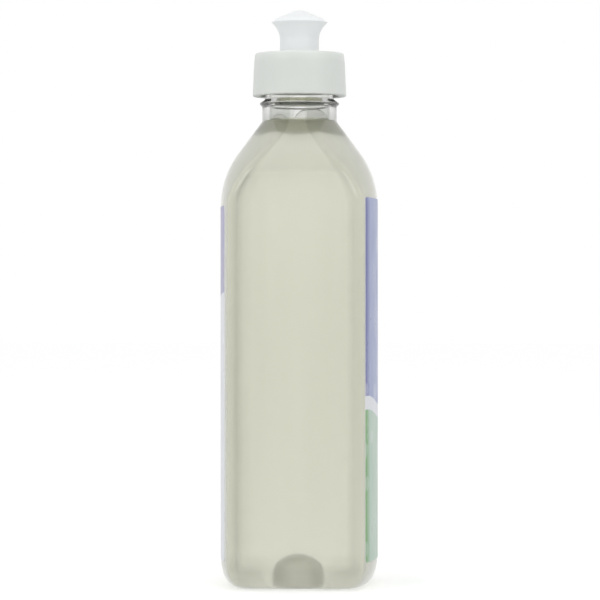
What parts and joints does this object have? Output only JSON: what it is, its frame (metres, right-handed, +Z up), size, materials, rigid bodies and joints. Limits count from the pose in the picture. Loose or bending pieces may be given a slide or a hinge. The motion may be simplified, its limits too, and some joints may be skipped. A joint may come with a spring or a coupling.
{
  "type": "shampoo bottle",
  "caption": "Clear squeeze bottle of pale shampoo with crowned label faces, flat sides, a tapered shoulder, a white screw cap and a push-pull spout.",
  "frame": {"origin": "middle of the base, on the plane that the standing ring rests on", "axes": "+Z up the bottle towards the spout, -Y out of the front label, +X out of the right side face"},
  "size_m": [0.0614, 0.0564, 0.2061],
  "materials": {
    "clear_pet": "clear blown bottle plastic",
    "shampoo": "pale hazy liquid",
    "cap_plastic": "satin moulded white",
    "spout_plastic": "satin moulded white",
    "seal_foam": "foamed plastic ring",
    "front_film": "printed film",
    "back_film": "printed film"
  },
  "bodies": {
    "bottle": {"bottle": "clear_pet", "shampoo": "shampoo", "front_label": "front_film", "back_label": "back_film"},
    "seal": {"seal_ring": "seal_foam"},
    "cap": {"cap": "cap_plastic"},
    "spout": {"spout": "spout_plastic"}
  },
  "joints": [
    {"name": "cap_lift", "type": "slide", "parent": "bottle", "child": "seal", "axis": [0, 0, 1], "range_m": [0, 0.00635]},
    {"name": "cap_turn", "type": "hinge", "parent": "seal", "child": "cap", "pos_m": [0, 0, 0.1812], "axis": [0, 0, 1], "range_deg": [0, 540]},
    {"name": "spout_pull", "type": "slide", "parent": "cap", "child": "spout", "axis": [0, 0, 1], "range_m": [0, 0.0045]}
  ],
  "couplings": [
    {"joint": "cap_lift", "follows": "cap_turn", "m_per_rad": 0.0006737}
  ]
}
